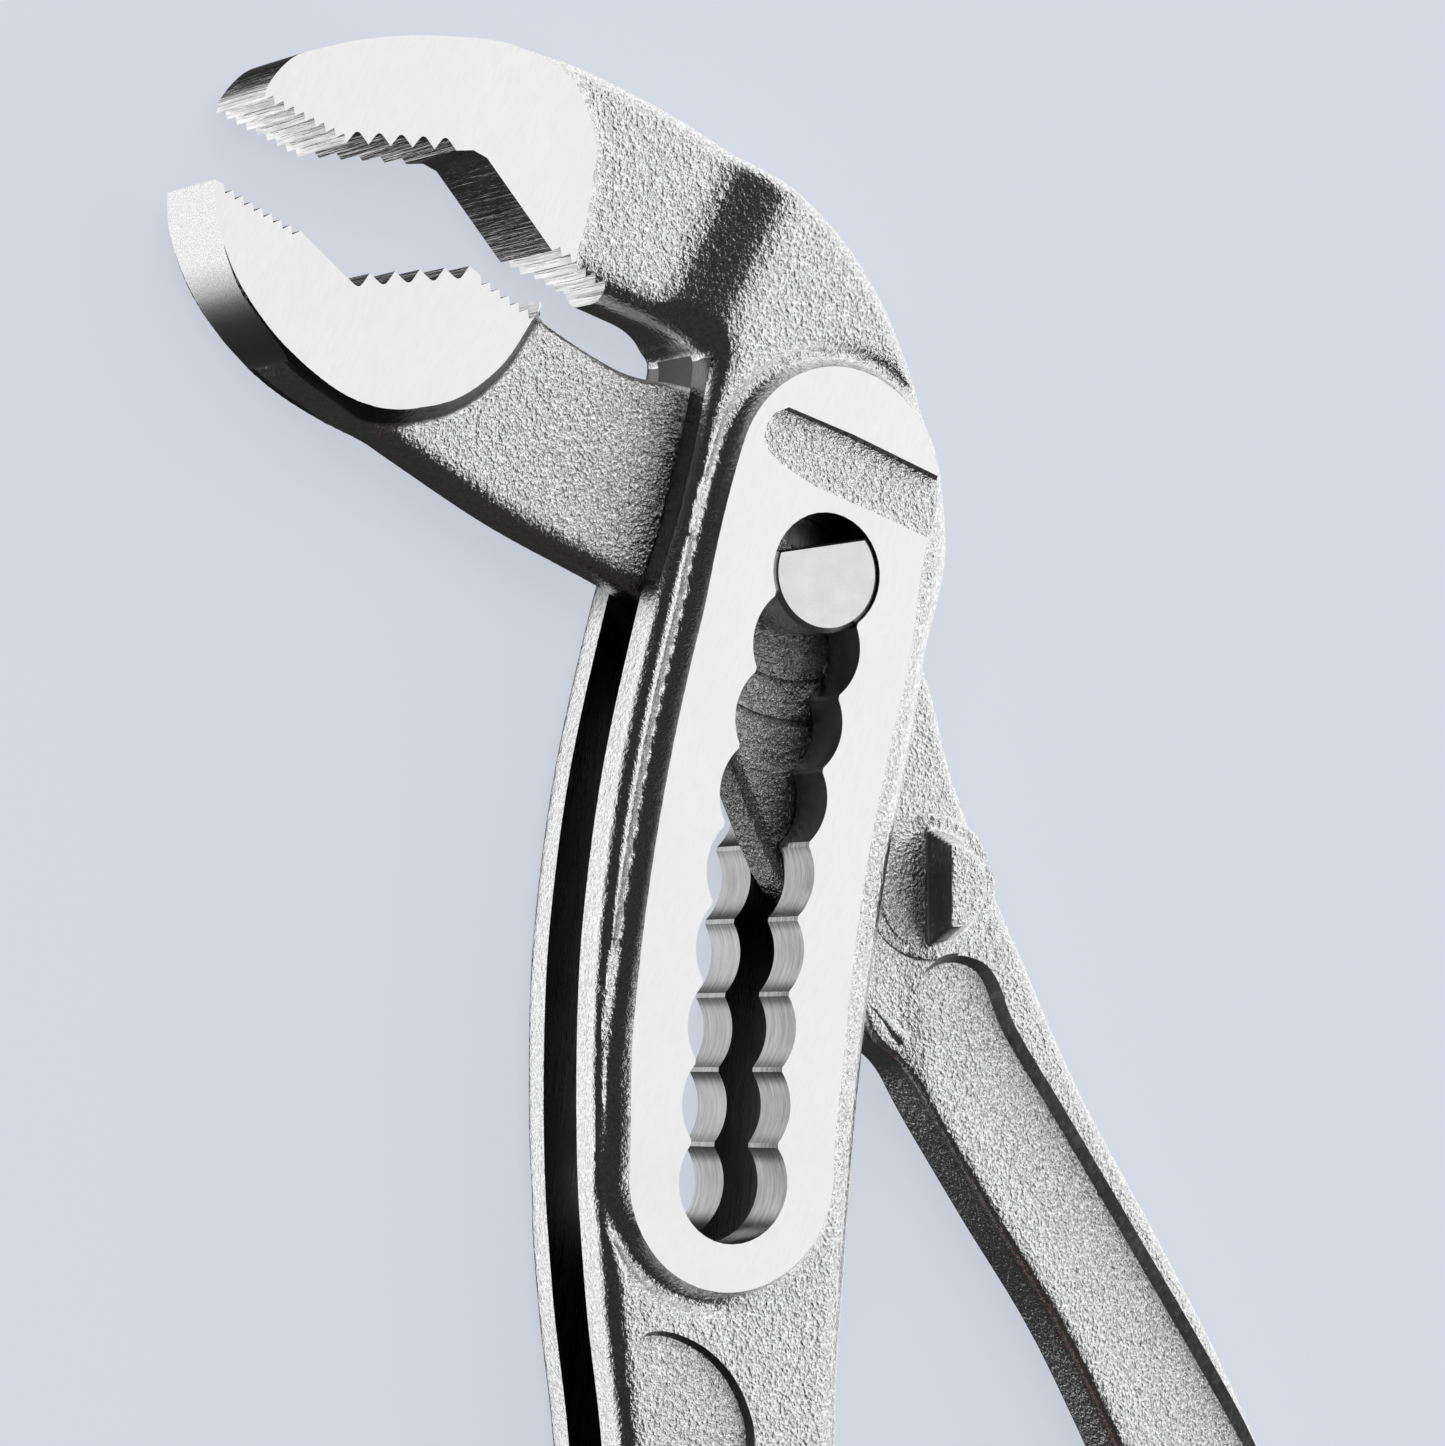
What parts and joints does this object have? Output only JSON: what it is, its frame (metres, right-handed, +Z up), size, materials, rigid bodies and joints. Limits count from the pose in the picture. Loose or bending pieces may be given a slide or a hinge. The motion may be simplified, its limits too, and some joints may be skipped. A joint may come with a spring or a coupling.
{
  "type": "water pump pliers",
  "caption": "Adjustable water pump pliers: a slim half turns on a bolt and shifts along a curved scalloped slot in a box-jointed half, with moulded grips on both handles.",
  "frame": {"origin": "centre of the hinge bolt's lower end face, in the plane that the tool lies on", "axes": "+Z up through the tool's thickness, +Y along the handles towards the jaws, +X towards the loose half's handle"},
  "size_m": [0.1069, 0.251, 0.013],
  "materials": {
    "forging": "chrome over shot-blasted forging, with ground faces on the boss and jaws",
    "bolt": "finely ground end faces",
    "grip_core": "moulded, fine matt grain",
    "grip_inlay": "soft, matt, with shallow cross ribs"
  },
  "bodies": {
    "outer": {"outer_half": "forging", "outer_grip_core": "grip_core", "outer_grip_inlay": "grip_inlay"},
    "bolt": {"hinge_bolt": "bolt"},
    "inner": {"inner_half": "forging", "inner_grip_core": "grip_core", "inner_grip_inlay": "grip_inlay"}
  },
  "joints": [
    {"name": "slot_shift", "type": "hinge", "parent": "outer", "child": "bolt", "pos_m": [0.1333, -0.04383, 0], "axis": [0, 0, 1], "range_deg": [0, 16.6]},
    {"name": "jaw_hinge", "type": "hinge", "parent": "bolt", "child": "inner", "pos_m": [0, 0, 0], "axis": [0, 0, 1], "range_deg": [-6, 65]}
  ]
}
